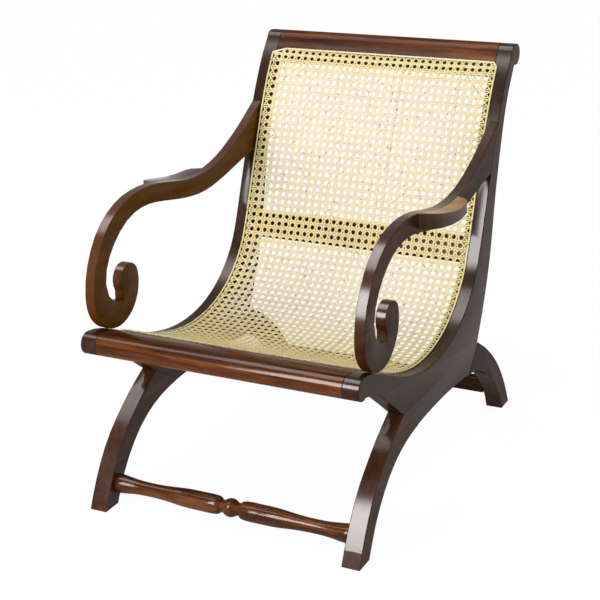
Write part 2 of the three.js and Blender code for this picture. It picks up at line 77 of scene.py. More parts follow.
def add_camera():
    """Aim the camera down its line of sight, then roll it about that line."""
    data = bpy.data.cameras.new("camera")
    data.sensor_fit = "HORIZONTAL"
    data.sensor_width = SENSOR_IN_MM
    data.lens = LENS_IN_MM
    data.shift_x, data.shift_y = SHIFT
    data.clip_end = FARTHEST_SEEN
    camera = put_in_scene("camera", data)
    turn = Matrix.Rotation(CAMERA_AZIMUTH, 4, "Z")
    tip = Matrix.Rotation(math.pi / 2 - CAMERA_ELEVATION, 4, "X")
    roll = Matrix.Rotation(CAMERA_ROLL, 4, "Z")
    camera.matrix_world = Matrix.Translation(CAMERA_PLACE) @ turn @ tip @ roll
    bpy.context.scene.camera = camera
    print("camera, m from the chair's middle:", round(CAMERA_PLACE.length, 2))


add_camera()

# %% [markdown]
# ## Shader sums written as sums
# A material is a network of small nodes. Made and linked one by one, they hide what a pattern
# does. Wrapping a socket in a class with + - and * lets the sums that drive a pattern be read as
# sums, and one method makes every other kind of node.


# %% Wires
class Wire:
    """An output socket that can be added, scaled and compared."""

    def __init__(self, finish, socket):
        self.finish = finish
        self.socket = socket

    def _sum(self, operation, first, second):
        return self.finish.node("ShaderNodeMath", {"operation": operation}, {0: first, 1: second})

    def __add__(self, other):
        return self._sum("ADD", self, other)

    def __radd__(self, other):
        return self._sum("ADD", other, self)

    def __sub__(self, other):
        return self._sum("SUBTRACT", self, other)

    def __rsub__(self, other):
        return self._sum("SUBTRACT", other, self)

    def __mul__(self, other):
        return self._sum("MULTIPLY", self, other)

    def __rmul__(self, other):
        return self._sum("MULTIPLY", other, self)

    def over(self, level):
        """1 where the wire is above a level, 0 below."""
        return self._sum("GREATER_THAN", self, level)


# %% Finishes
# Some nodes have several sockets of one name, so these are known by their numbers.
OBJECT_OUTPUT = 3
VECTOR_OUTPUT = 1
NUMBER_OUTPUT = 2
MIX_SHARE, MIX_UNDER, MIX_OVER, MIX_OUTPUT = 0, 6, 7, 2


class Finish:
    """A material whose Principled shader gets constants on its sockets and patterns by wire."""

    def __init__(self, name, **constants):
        self.material = bpy.data.materials.new(name)
        self.material.use_nodes = True
        self.tree = self.material.node_tree
        self.shader = self.tree.nodes["Principled BSDF"]
        for socket, value in constants.items():
            self.shader.inputs[socket.replace("_", " ")].default_value = value

    def node(self, kind, settings=None, sockets=None, output=0):
        """Make a node: its settings first, then a value or a wire for each socket."""
        made = self.tree.nodes.new(kind)
        for key, value in (settings or {}).items():
            if key == "stops":
                ramp = made.color_ramp.elements
                for index, (place, colour) in enumerate(value):
                    stop = ramp[index] if index < len(ramp) else ramp.new(place)
                    stop.position = place
                    stop.color = (*colour, 1.0)
            else:
                setattr(made, key, value)
        for key, value in (sockets or {}).items():
            if isinstance(value, Wire):
                self.tree.links.new(value.socket, made.inputs[key])
            else:
                made.inputs[key].default_value = value
        return Wire(self, made.outputs[output])

    def parts(self, vector):
        """The three numbers of a vector, as wires."""
        first = self.node("ShaderNodeSeparateXYZ", {}, {"Vector": vector})
        return [Wire(self, output) for output in first.socket.node.outputs]

    def joined(self, x, y, z):
        """Three numbers made one vector."""
        return self.node("ShaderNodeCombineXYZ", {}, {"X": x, "Y": y, "Z": z})

    def attribute(self, name, output=NUMBER_OUTPUT):
        """A fact that the mesh carries on its points or face corners."""
        return self.node("ShaderNodeAttribute", {"attribute_name": name}, output=output)

    def noise(self, place, scale, detail, **more):
        sockets = {"Vector": place, "Scale": scale, "Detail": detail, **more}
        return self.node("ShaderNodeTexNoise", {}, sockets)

    def stretched_noise(self, place, stretch, scale, detail, **more):
        """Noise on a stretched copy of the coordinates."""
        vector = self.node("ShaderNodeMapping", {"vector_type": "POINT"},
                           {"Vector": place, "Scale": stretch})
        return self.noise(vector, scale, detail, **more)

    def mixed(self, share, under, over):
        """A plain colour laid over a pattern of colour, by a share that may vary."""
        return self.node("ShaderNodeMix", {"data_type": "RGBA"},
                         {MIX_SHARE: share, MIX_UNDER: under, MIX_OVER: (*over, 1.0)}, MIX_OUTPUT)

    def relief(self, height, strength, distance):
        """Make the surface look raised where the height is greater."""
        bump = self.node("ShaderNodeBump", {},
                         {"Strength": strength, "Distance": distance, "Height": height})
        self.feed("Normal", bump)

    def feed(self, socket, wire):
        self.tree.links.new(wire.socket, self.shader.inputs[socket])


# %% [markdown]
# ## Lacquered mahogany
# The frame is dark, red-brown and glossy: stained wood under many coats. One brown and one gloss
# would look like plastic, so the colour comes from broad bands stretched along the board, darker
# thin streaks, and short pores. The gloss is a clear coat over a base that has no shine of its own,
# so one coat makes one clear highlight. Each board's grain runs along it, so a mapping node turns
# the pattern before it is stretched.
#
# Each face corner carries two facts: how far it looks up, and how far it is a plank's narrow edge.
# Where hands and arms rub the wood, on the tops of the arms, the coat is fuller, and undersides have
# less of it. Some of the colour is painted light and shade: the right pad's top is painted paler, a
# painted reflection of the cane; the left arm's broad faces are painted lighter and its narrow edges
# darker and redder; and the top rail is painted nearly black below the line where the cane covers
# it, a painted shade.

# %% Grain
BANDS = {"stretch": (1.3, 16.0, 16.0), "scale": 3.0, "detail": 4.0, "Distortion": 0.6}
STREAKS = {"stretch": (6.0, 120.0, 120.0), "scale": 3.0, "detail": 3.0, "Roughness": 0.6}
PORES = {"stretch": (30.0, 900.0, 900.0), "scale": 1.0, "detail": 1.0}
CLOUDS = {"stretch": (1.0, 1.0, 1.0), "scale": 14.0, "detail": 2.0}
BAND_SHARE, STREAK_SHARE, TONE_DROP = 0.80, 0.34, 0.07
DARK_STOP, MIDDLE_STOP, LIGHT_STOP = 0.34, 0.52, 0.72
PORE_LEVEL, PORE_SHARE, PORE_DEPTH = 0.66, 0.45, 0.4
BAND_RELIEF, STREAK_RELIEF = 0.4, 0.6


def grain(finish, place, turn, tones):
    """The colour of a board with its grain along X turned by the given angles, and its relief."""
    dark, middle, light = tones
    turned = finish.node("ShaderNodeMapping", {"vector_type": "TEXTURE"},
                         {"Vector": place, "Rotation": turn})
    bands = finish.stretched_noise(turned, **BANDS)
    streaks = finish.stretched_noise(turned, **STREAKS)
    pores = finish.stretched_noise(turned, **PORES)
    tone = bands * BAND_SHARE + streaks * STREAK_SHARE - TONE_DROP
    stops = [(DARK_STOP, dark), (MIDDLE_STOP, middle), (LIGHT_STOP, light)]
    colour = finish.node("ShaderNodeValToRGB", {"stops": stops}, {"Fac": tone})
    pore_tone = [part * PORE_DEPTH for part in dark]
    pored = finish.mixed(pores.over(PORE_LEVEL) * PORE_SHARE, colour, pore_tone)
    return pored, streaks * STREAK_RELIEF + bands * BAND_RELIEF


# %% Lacquered wood
# How far a plank's narrow edges are mixed towards a painted shade tone.
EDGE_SHADE_SHARE = 0.72
# Pale tan painted on upward faces: a painted reflection of the cane.
CANE_REFLECTION_TONE = (0.42, 0.22, 0.075)
# Painted shade: the near-black tone and share for the top rail under the cane.
PAINTED_SHADE_TONE = (0.010, 0.006, 0.004)
PAINTED_SHADE_SHARE = 0.85
HEAD_SLOPE = (0.592, 0.806)
WOOD_ROUGHNESS, ROUGHNESS_SPREAD = 0.40, 0.2
GRAIN_STRENGTH, GRAIN_DEPTH = 0.10, 0.5 * MM


def wood_finish(name, turn, tones, coat, rubbed=0.0, painted_reflection=0.0, painted_edge_shade=None, painted_shade_below=None,
                coat_roughness=0.2):
    """Lacquered wood, with its rubbed coat and the painted light and shade that its piece has."""
    finish = Finish(name, Coat_Weight=coat, Coat_Roughness=coat_roughness, Coat_IOR=1.5, IOR=1.45,
                    Specular_IOR_Level=0.0)
    place = finish.node("ShaderNodeTexCoord", output=OBJECT_OUTPUT)
    colour, height = grain(finish, place, turn, tones)
    cloud = finish.stretched_noise(place, **CLOUDS)
    upward = finish.attribute("upward")
    # Painted shade: the narrow edges are mixed towards a darker, redder tone.
    if painted_edge_shade:
        colour = finish.mixed(finish.attribute("edge") * EDGE_SHADE_SHARE, colour, painted_edge_shade)
    # Painted reflection: upward faces, patched by the clouds, are mixed towards a pale tan that stands for
    # the cane mirrored in the top.
    if painted_reflection:
        colour = finish.mixed(upward * cloud * painted_reflection, colour, CANE_REFLECTION_TONE)
    # Painted shade: below the plane where the cane covers the top rail, the colour goes near-black.
    if painted_shade_below is not None:
        _, back, up = finish.parts(place)
        hidden = (painted_shade_below - (back * HEAD_SLOPE[0] + up * HEAD_SLOPE[1])).over(0.0)
        colour = finish.mixed(hidden * PAINTED_SHADE_SHARE, colour, PAINTED_SHADE_TONE)
    finish.feed("Base Color", colour)
    finish.feed("Roughness", WOOD_ROUGHNESS + cloud * ROUGHNESS_SPREAD)
    if rubbed:
        weight = finish.node("ShaderNodeClamp", {}, {"Value": coat + upward * rubbed})
        finish.feed("Coat Weight", weight)
    finish.relief(height, GRAIN_STRENGTH, GRAIN_DEPTH)
    return finish.material


# %% The chair's woods
# Each set of tones goes from the darkest streaks to the lightest bands.
SIDE_TONES = ((0.024, 0.0085, 0.0036), (0.040, 0.0145, 0.0060), (0.066, 0.025, 0.010))
LEG_TONES = ((0.036, 0.0125, 0.0058), (0.060, 0.0210, 0.0095), (0.098, 0.036, 0.0150))
# The left arm's tones are painted lighter than the right arm's, a painted light on its broad faces, and its
# edge tone is a painted shade.
LEFT_ARM_PAINTED_LIGHT_TONES = ((0.088, 0.0330, 0.0006), (0.115, 0.0425, 0.0009), (0.152, 0.058, 0.0014))
LEFT_ARM_PAINTED_SHADE_TONE = (0.085, 0.0200, 0.0030)
RIGHT_ARM_TONES = ((0.036, 0.0120, 0.0040), (0.062, 0.0200, 0.0064), (0.098, 0.034, 0.011))
CROSS_TONES = ((0.036, 0.0080, 0.0018), (0.125, 0.032, 0.0060), (0.300, 0.092, 0.014))
TURNED_TONES = ((0.022, 0.0070, 0.0025), (0.095, 0.028, 0.0080), (0.240, 0.083, 0.022))
BARE_TONES = ((0.24, 0.12, 0.055), (0.40, 0.22, 0.11), (0.55, 0.34, 0.18))
ACROSS = (0.0, 0.0, 0.0)
CANE_COVERS_BELOW = 0.9405


def tilted(degrees):
    """Grain in the side planes, rising towards the back by an angle."""
    return (math.radians(degrees), 0.0, math.radians(90))


RAIL_GRAIN, FRONT_LEG_GRAIN, REAR_LEG_GRAIN, ARM_GRAIN = map(tilted, (18, 48, -48, -6))
rail_wood = wood_finish("side rail wood", RAIL_GRAIN, SIDE_TONES, coat=0.31, rubbed=0.22)
front_leg_woods = {
    "left": wood_finish("left front leg wood", FRONT_LEG_GRAIN, LEG_TONES, coat=0.32, rubbed=0.25),
    "right": wood_finish("right front leg wood", FRONT_LEG_GRAIN, LEG_TONES, coat=0.25, rubbed=0.45),
}
rear_leg_wood = wood_finish("rear leg wood", REAR_LEG_GRAIN, SIDE_TONES, coat=0.18)
arm_woods = {
    "left": wood_finish("left arm wood", ARM_GRAIN, LEFT_ARM_PAINTED_LIGHT_TONES, coat=0.25, rubbed=0.6,
                        painted_edge_shade=LEFT_ARM_PAINTED_SHADE_TONE),
    "right": wood_finish("right arm wood", ARM_GRAIN, RIGHT_ARM_TONES, coat=0.22, rubbed=0.6),
}
# The right pad's top gets a painted reflection of the cane.
pad_woods = {
    "left": wood_finish("left pad wood", ARM_GRAIN, RIGHT_ARM_TONES, coat=0.40, rubbed=0.8),
    "right": wood_finish("right pad wood", ARM_GRAIN, RIGHT_ARM_TONES, coat=0.40, rubbed=0.4, painted_reflection=1.9),
}
cross_wood = wood_finish("cross wood", ACROSS, CROSS_TONES, coat=0.30, coat_roughness=0.11)
# The top rail gets a painted shade below the line where the cane covers it.
top_wood = wood_finish("top rail wood", ACROSS, CROSS_TONES, coat=0.16, painted_shade_below=CANE_COVERS_BELOW)
# The rails behind the cane get the side frames' darkest tones, a painted shade for the shadow they lie in.
shaded_inner_wood = wood_finish("inner rail wood", ACROSS, SIDE_TONES, coat=0.08)
turned_wood = wood_finish("turned wood", ACROSS, TURNED_TONES, coat=0.30, coat_roughness=0.13)
print("materials so far:", len(bpy.data.materials))

# %% [markdown]
# ## Finished wooden pieces
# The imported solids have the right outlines, but their curves are facets and the pads' arrises are
# bare. Modelled anew, each outline would be worked out twice, so copies are used. A copy is merged,
# its flat faces are joined again, and it is shaded smooth up to an angle, which is lower on the
# front legs, so that their small bevels stay flat. The arm pads get
# rounded arrises from a bevel. The top rail's lower edge is cut off by a plane, because on the real
# one the first row of openings has no wood so low behind it. The copy then stands for the solid.

# %% Copies of the solids
MERGED_WITHIN = 0.00001
FLAT_WITHIN = math.radians(0.4)
SHARP_OVER = 27.0
LEG_SHARP_OVER = 22.0
PAD_ROUNDING = 2.2 * MM
TOP_RAIL_CUT = (0.0, 0.3871, 0.8572)


def mark_facing(mesh):
    """Store on each face corner how far it looks up, and how far it is a plank's narrow edge."""
    mesh.attributes.new("upward", "FLOAT", "CORNER")
    mesh.attributes.new("edge", "FLOAT", "CORNER")
    normals = [tuple(normal.vector) for normal in mesh.corner_normals]
    mesh.attributes["upward"].data.foreach_set("value", [normal[2] for normal in normals])
    mesh.attributes["edge"].data.foreach_set("value", [1.0 - abs(normal[0]) for normal in normals])


def stand_for(mesh, node, material):
    """Make the finished mesh a piece that takes the solid's place."""
    mesh.materials.clear()
    mesh.materials.append(material)
    piece = put_in_scene(node + "_finished", mesh)
    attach(piece, "root")
    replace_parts(piece, node)


def smooth_into(mesh, form, sharp_over):
    """Write a form into a mesh, shaded smooth but for edges sharper than an angle in degrees."""
    for face in form.faces:
        face.smooth = True
    form.to_mesh(mesh)
    form.free()
    mesh.set_sharp_from_angle(angle=math.radians(sharp_over))


# %% Cut and round a form
def cut_away(form, place, slope):
    """Cut a form by a plane, drop what lies behind it, and close the cut."""
    everything = [*form.verts, *form.edges, *form.faces]
    cut = bmesh.ops.bisect_plane(form, geom=everything, plane_co=place, plane_no=slope, clear_inner=True)
    rim = [part for part in cut["geom_cut"] if isinstance(part, bmesh.types.BMEdge)]
    bmesh.ops.holes_fill(form, edges=rim)


def round_arrises(form, rounding, sharp_over):
    sharp = [edge for edge in form.edges if len(edge.link_faces) == 2
             and edge.calc_face_angle(0.0) > math.radians(sharp_over)]
    bmesh.ops.bevel(form, geom=sharp, offset=rounding, offset_type="OFFSET", segments=3, profile=0.5,
                    affect="EDGES", clamp_overlap=True, material=-1)


def finished(node, material, rounding=0.0, sharp_over=SHARP_OVER, cut=None):
    """Put a smooth copy of a solid in its place, cut by a plane and rounded where that is asked."""
    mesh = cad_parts[node].data.copy()
    form = bmesh.new()
    form.from_mesh(mesh)
    bmesh.ops.remove_doubles(form, verts=form.verts, dist=MERGED_WITHIN)
    if cut:
        cut_away(form, *cut)
    bmesh.ops.dissolve_limit(form, angle_limit=FLAT_WITHIN, verts=form.verts, edges=form.edges)
    if rounding:
        round_arrises(form, rounding, sharp_over)
    smooth_into(mesh, form, sharp_over)
    mark_facing(mesh)
    stand_for(mesh, node, material)


# %% Finish the sawn pieces
for label in ("left", "right"):
    finished("side_rail_" + label, rail_wood)
    finished("front_leg_" + label, front_leg_woods[label], sharp_over=LEG_SHARP_OVER)
    finished("rear_leg_" + label, rear_leg_wood)
    finished("arm_" + label, arm_woods[label])
    finished("armrest_pad_" + label, pad_woods[label], PAD_ROUNDING)
finished("front_rail", cross_wood)
finished("top_rail", top_wood, cut=(TOP_RAIL_CUT, (0.0, *HEAD_SLOPE)))
finished("mid_back_rail", shaded_inner_wood)
finished("rear_lower_rail", shaded_inner_wood)

# %% [markdown]
# ## The turned stretcher
# The stretcher is turned on a lathe: a ball in the middle, and on each side a bulb that runs out to
# a waist and a thicker end. A ball and some cylinders would leave steps between them, so the lathe
# is copied. Half the outline is drawn as a line of vertices, mirrored, and spun once round the long
# axis, with the seam merged.

# %% Stretcher sizes
STRETCHER_HALF = 283.0 * MM
STRETCHER_RADIUS = 21.0 * MM
BALL_RADIUS = 20.5 * MM
BALL_STEPS = 8
TENON_RADIUS = 12.0 * MM
TENON_END = 305.0 * MM
STRETCHER_PLACE = (-0.4175, 0.0460)
# Shares of the half length and of the radius, from beside the ball to the end.
TURNING_SHARES = [
    (0.078, 0.64), (0.1, 0.9), (0.15, 1.0), (0.25, 1.0), (0.38, 0.98), (0.6, 0.76), (0.8, 0.76),
    (0.97, 1.0), (1.0, 1.0),
]
TURNING_STEPS = 8
SPIN_STEPS = 56
TURNED_SHARP_OVER = 50


# %% A smooth line through points
def smooth_line(points, steps=40):
    """A smooth run of points through the given ones, with the sharper bends kept tight."""
    ends = [2 * points[0] - points[1], *points, 2 * points[-1] - points[-2]]
    line = []
    for a, b, c, d in zip(ends, ends[1:], ends[2:], ends[3:]):
        ab, bc, cd = (math.sqrt((q - p).length) for p, q in ((a, b), (b, c), (c, d)))
        out = ((b - a) / ab - (c - a) / (ab + bc) + (c - b) / bc) * bc
        home = ((c - b) / bc - (d - b) / (bc + cd) + (d - c) / cd) * bc
        curl = 3 * (c - b) - 2 * out - home
        rest = 2 * (b - c) + out + home
        line += [b + out * t + curl * t * t + rest * t ** 3 for t in (k / steps for k in range(steps))]
    return [*line, points[-1]]


# %% Spin the outline
def turned_outline():
    """Distances along the axis and radii, from the ball's top to the tenon's end."""
    neck = TURNING_SHARES[0][1] * STRETCHER_RADIUS
    sweep_angle = math.asin(neck / BALL_RADIUS) - math.pi / 2
    angles = [math.pi / 2 + sweep_angle * k / BALL_STEPS for k in range(BALL_STEPS)]
    ball = [Vector((BALL_RADIUS * math.cos(angle), BALL_RADIUS * math.sin(angle))) for angle in angles]
    shaped = [Vector((along * STRETCHER_HALF, radius * STRETCHER_RADIUS)) for along, radius in TURNING_SHARES]
    ends = [(STRETCHER_HALF, TENON_RADIUS), (TENON_END, TENON_RADIUS), (TENON_END, 0.0)]
    return ball + smooth_line(shaped, TURNING_STEPS) + [Vector(end) for end in ends]


def turn_stretcher():
    form = bmesh.new()
    right = turned_outline()
    outline = [Vector((-point.x, point.y)) for point in reversed(right[1:])] + right
    y, z = STRETCHER_PLACE
    line = [form.verts.new((point.x, y, z + point.y)) for point in outline]
    edges = [form.edges.new(pair) for pair in zip(line, line[1:])]
    bmesh.ops.spin(form, geom=[*line, *edges], cent=(0, y, z), axis=(1, 0, 0), dvec=(0, 0, 0),
                   angle=math.tau, steps=SPIN_STEPS, use_merge=True, use_duplicate=False)
    bmesh.ops.remove_doubles(form, verts=form.verts, dist=MERGED_WITHIN)
    bmesh.ops.recalc_face_normals(form, faces=form.faces)
    mesh = bpy.data.meshes.new("front_stretcher_turned")
    smooth_into(mesh, form, TURNED_SHARP_OVER)
    stand_for(mesh, "front_stretcher", turned_wood)
    print("stretcher faces:", len(mesh.polygons))


turn_stretcher()

# %% Bare wood of the hidden joints
bare_wood = wood_finish("bare wood", ACROSS, BARE_TONES, coat=0.0)
hidden_joints = [node for name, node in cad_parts.items() if "dowel" in name or "loose_tenon" in name]
for node in hidden_joints:
    node.data.materials.clear()
    node.data.materials.append(bare_wood)
print("hidden dowels and tenons:", len(hidden_joints))

# %% [markdown]
# ## The line that the cane follows
# The front edge of the side rails is one smooth curve from nose to head. Woven in place, every over
# and under would have to be worked out on that curve. So the weave is made flat, as if it lay on a
# bench, and is then laid on the curve: a distance along the weave becomes a place on the curve, and
# a height over the bench becomes a distance off it.

# %% Seat curve
CHAIR_DEPTH = 0.948
CHAIR_HEIGHT = 0.916
# Shares of the chair's depth and height, from nose to head.
SEAT_SHARES = [
    (0.034, 0.447), (0.074, 0.44), (0.284, 0.353), (0.418, 0.327), (0.542, 0.34), (0.635, 0.384),
    (0.693, 0.44), (0.72, 0.483), (0.847, 0.821), (0.905, 0.933), (0.942, 0.985),
]


class SeatLine:
    """Places along the seat curve, by distance from its front end."""

    def __init__(self):
        points = [Vector(((y - 0.5) * CHAIR_DEPTH, z * CHAIR_HEIGHT)) for y, z in SEAT_SHARES]
        self.points = smooth_line(points)
        self.marks = [0.0]
        for a, b in zip(self.points, self.points[1:]):
            self.marks.append(self.marks[-1] + (b - a).length)
        self.length = self.marks[-1]

    def at(self, distance):
        """The point and the direction along the curve at a distance from its front end."""
        low, high = 0, len(self.marks) - 2
        while low < high:
            middle = (low + high + 1) // 2
            if self.marks[middle] <= distance:
                low = middle
            else:
                high = middle - 1
        a, b = self.points[low], self.points[low + 1]
        share = (distance - self.marks[low]) / (self.marks[low + 1] - self.marks[low])
        before = self.points[max(low - 1, 0)]
        after = self.points[min(low + 2, len(self.points) - 1)]
        along = ((b - before).normalized().lerp((after - a).normalized(), share)).normalized()
        return a.lerp(b, share), along

    def laid(self, across, distance, height):
        """Where a place on the bench comes to lie on the seat."""
        point, along = self.at(distance)
        return Vector((across, point.x - along.y * height, point.y + along.x * height))


seat = SeatLine()
print("seat curve, m:", round(seat.length, 4))

# %% [markdown]
# ## Cane
# Chair cane is the glossy skin of rattan, split into strips about 3 mm wide. Each strip has its own
# tone, from pale cream to straw yellow, with fine fibres along it. A pattern in the chair's own
# coordinates would run across the strips, so a strand number and a place along the strand are
# stored on each vertex, and every strip gets a tone and fibres of its own. Each vertex also says how
# far it is from the rails, and where nothing lies behind the cane its tone is painted paler: a
# painted light, standing for light that comes through from behind. The brown marks come over that
# paler tone: a ring here and there where a leaf grew, a blotch, and now and then a browner strip.

# %% Cane finish
CANE_BROWN = (0.42, 0.22, 0.07)
# A paler tone painted where no rail lies behind the cane: painted light from behind.
CANE_BACKLIT_TONE = (0.94, 0.825, 0.60)
# Pale cream, then straw yellow.
WOVEN_TONES = ((0.96, 0.83, 0.45), (0.88, 0.69, 0.27))
BINDER_TONES = ((0.96, 0.86, 0.50), (0.90, 0.74, 0.32))
WOVEN_ROUGHNESS, BINDER_ROUGHNESS = 0.34, 0.32
# How fast each pattern changes along a strand, across it and from strand to strand.
FIBRE_ALONG, FIBRE_ACROSS, FIBRE_OWN = 9.0, 16.0, 91.0
BLOTCH_ALONG, BLOTCH_OWN = 14.0, 57.0
RING_ALONG, RING_OWN = 55.0, 311.0
OWN_SHARE, BLOTCH_SHARE, FIBRE_SHARE, CANE_TONE_DROP = 0.50, 0.55, 0.25, 0.17
PALE_STOP, STRAW_STOP = 0.12, 0.95
BACKLIT_SHARE = 0.85
# Above which level each mark shows, and how brown it is.
RING_LEVEL, RING_BROWN = 0.745, 0.62
BLOTCH_LEVEL, BLOTCH_BROWN = 0.70, 0.16
STRIP_LEVEL, STRIP_BROWN = 0.93, 0.16
FIBRE_ROUGHNESS = 0.15
FIBRE_STRENGTH, FIBRE_DEPTH = 0.25, 0.2 * MM


def cane_finish(name, tones, roughness):
    """Natural cane, with the tone and the marks of each strip."""
    finish = Finish(name, IOR=1.5, Specular_IOR_Level=0.35)
    own, along, across = finish.parts(finish.attribute("strand", VECTOR_OUTPUT))
    fibre_place = finish.joined(along * FIBRE_ALONG, across * FIBRE_ACROSS, own * FIBRE_OWN)
    blotch_place = finish.joined(along * BLOTCH_ALONG, own * BLOTCH_OWN, 0.0)
    ring_place = finish.joined(along * RING_ALONG, own * RING_OWN, 0.0)
    fibre = finish.noise(fibre_place, scale=1.0, detail=3.0)
    blotch = finish.noise(blotch_place, scale=1.0, detail=2.0)
    ring = finish.noise(ring_place, scale=1.0, detail=0.0)
    tone = own * OWN_SHARE + blotch * BLOTCH_SHARE + fibre * FIBRE_SHARE - CANE_TONE_DROP
    stops = [(PALE_STOP, tones[0]), (STRAW_STOP, tones[1])]
    colour = finish.node("ShaderNodeValToRGB", {"stops": stops}, {"Fac": tone})
    # Painted light: away from the rails the colour is mixed towards the paler tone.
    backlit = finish.mixed(finish.attribute("open") * BACKLIT_SHARE, colour, CANE_BACKLIT_TONE)
    marks = (ring.over(RING_LEVEL) * RING_BROWN + blotch.over(BLOTCH_LEVEL) * BLOTCH_BROWN
             + own.over(STRIP_LEVEL) * STRIP_BROWN)
    finish.feed("Base Color", finish.mixed(marks, backlit, CANE_BROWN))
    finish.feed("Roughness", roughness + fibre * FIBRE_ROUGHNESS)
    finish.relief(fibre, FIBRE_STRENGTH, FIBRE_DEPTH)
    return finish.material


cane_material = cane_finish("woven cane", WOVEN_TONES, WOVEN_ROUGHNESS)
binder_material = cane_finish("binder cane", BINDER_TONES, BINDER_ROUGHNESS)
print("cane finishes:", cane_material.name, "and", binder_material.name)

# %% [markdown]
# ## The weave's plan
# The frame has a row of holes along each edge. Pairs of strands run from head to nose between the
# side holes, pairs run from side to side through the holes, and two sets of single strands cross at
# a slant. The slanting strands pass over one pair and under the other, and so every opening between
# two pairs becomes an octagon. Bumps on one sheet would hide what is seen through the openings, so
# every strand is modelled. Counted on the chair there are 32 spaces across and 60 along. The
# outermost space on each side has no lengthwise pair: there the slanting strands show as a row of
# X's over the dark rail.

# %% Weave sizes
SPACES_ACROSS = 32
SPACES_ALONG = 60
STEPS_IN_SPACE = 4
HOLE_LINE = 291.0 * MM
FRONT_HOLES = 85.0 * MM
TOP_HOLES = 1195.0 * MM
PITCH_X = 2 * HOLE_LINE / SPACES_ACROSS
PITCH_S = (TOP_HOLES - FRONT_HOLES) / SPACES_ALONG
STRAND_WIDTH = 3.3 * MM
STRAND_THICKNESS = 1.0 * MM
PAIR_GAP_X = 5.2 * MM
PAIR_GAP_S = 4.4 * MM
MID_HEIGHT = 1.9 * MM
SLANT_LIFT = 1.0 * MM
PAIR_LIFT = 1.05 * MM
HOLE_DEPTH = 2.6 * MM
PANEL_EDGE = 294.5 * MM
PANEL_TOP = 1199.0 * MM
LEFT_CUT = (34 * MM, 11 * MM)
RIGHT_CUT = (9 * MM, 10 * MM)
print("hole pitch, mm:", round(PITCH_X / MM, 2), round(PITCH_S / MM, 2))


# %% [markdown]
# ## What the hand does to the plan
# Hand work isn't square: the top rows bow up towards the sides and crowd towards the top edge, and
# the rows sag a little at the left. So each place of the plan is drawn a few millimetres along the
# seat before it is laid. Every strand also lies a little off its line, by random amounts that start
# from one seed, so each run of this file gives the same panel.

# %% Unevenness
TOP_BOW = 4.5 * MM
BOW_ROWS = 8
TOP_PULL = 6.0 * MM
PULL_GROWS = (0.5, 1.5)
PULL_FADES = (2, 9)
LEFT_SAG = 4.0 * MM
STRAND_WANDER_MM = 0.25
STEP_WANDER_MM = 0.12
STITCH_WANDER_MM = 0.6
HAND_SEED = 11
hand = random.Random(HAND_SEED)


def wander(size_mm=STRAND_WANDER_MM):
    return hand.uniform(-size_mm, size_mm) * MM


def rise(value, low, high):
    """0 below low, 1 above high, and a straight rise between."""
    return min(1.0, max(0.0, (value - low) / (high - low)))


def drawn(across, distance):
    """How far the hand has drawn a place of the weave along the seat."""
    side = across / HOLE_LINE
    rows_down = (TOP_HOLES - distance) / PITCH_S
    bow = TOP_BOW * side * side * (1.0 - rise(rows_down, 0, BOW_ROWS))
    pull = TOP_PULL * rise(rows_down, *PULL_GROWS) * (1.0 - rise(rows_down, *PULL_FADES))
    sag = LEFT_SAG * max(0.0, -side) ** 2 * math.sin(math.pi * distance / TOP_HOLES)
    return bow + pull - sag


print("top row at the sides, drawn by mm:", round(drawn(HOLE_LINE, TOP_HOLES) / MM, 2))

# %% [markdown]
# ## Strands from curves
# A strand is flat under and domed over. It could be extruded face by face, but a curve with a
# section is shorter to write and closes its own ends: one curve object holds all the strands of a
# set, and Blender sweeps the section along them. Swept flat, the section stays upright. Each vertex
# is then laid on the seat, and its strand's number, its place along and its place across are stored
# for the material, with how far it is from the rails.

# %% The cut end of a strand
SECTION_SHAPE = [(-0.5, -0.45), (-0.4, 0.2), (0.0, 0.5), (0.4, 0.2), (0.5, -0.45)]


def strand_section(width, thickness):
    """The cut end of a strand: flat under, domed over."""
    data = bpy.data.curves.new("section", "CURVE")
    data.dimensions = "2D"
    spline = data.splines.new("POLY")
    spline.points.add(len(SECTION_SHAPE) - 1)
    for point, (across, up) in zip(spline.points, SECTION_SHAPE):
        point.co = (across * width, up * thickness, 0.0, 1.0)
    spline.use_cyclic_u = True
    return put_in_scene("section", data)


# %% Lay strands on the seat
# Each pair says from where to where the cane changes from covered to open.
SIDE_OPENS = (10 * MM, 60 * MM)
FRONT_OPENS = (400 * MM, 520 * MM)
TOP_OPENS = (40 * MM, 70 * MM)
MID_RAIL_OPENS = (34 * MM, 50 * MM)
MID_RAIL_PLACE = 0.6138 * seat.length
STRAND_SHARP_OVER = 60


def open_share(across, distance):
    """How far a place of the weave is from the rails behind it, from 0 to 1."""
    sides = rise(HOLE_LINE - abs(across), *SIDE_OPENS)
    ends = rise(distance, *FRONT_OPENS) * rise(TOP_HOLES - distance, *TOP_OPENS)
    middle = rise(abs(distance - MID_RAIL_PLACE), *MID_RAIL_OPENS)
    return sides * ends * middle


def store_facts(mesh, runs):
    """Store on each vertex how open its place is, and its strand's number and places."""
    mesh.attributes.new("open", "FLOAT", "POINT")
    mesh.attributes.new("strand", "FLOAT_VECTOR", "POINT")
    openness = [open_share(*point.co[:2]) for point in mesh.vertices]
    mesh.attributes["open"].data.foreach_set("value", openness)
    facts = mesh.attributes["strand"]
    corners = len(SECTION_SHAPE)
    vertex = 0
    for run in runs:
        own = hand.random()
        along = 0.0
        last = run[0]
        for place in run:
            along += (Vector(place) - Vector(last)).length
            last = place
            for corner in range(corners):
                facts.data[vertex].vector = (own, along, corner / (corners - 1))
                vertex += 1


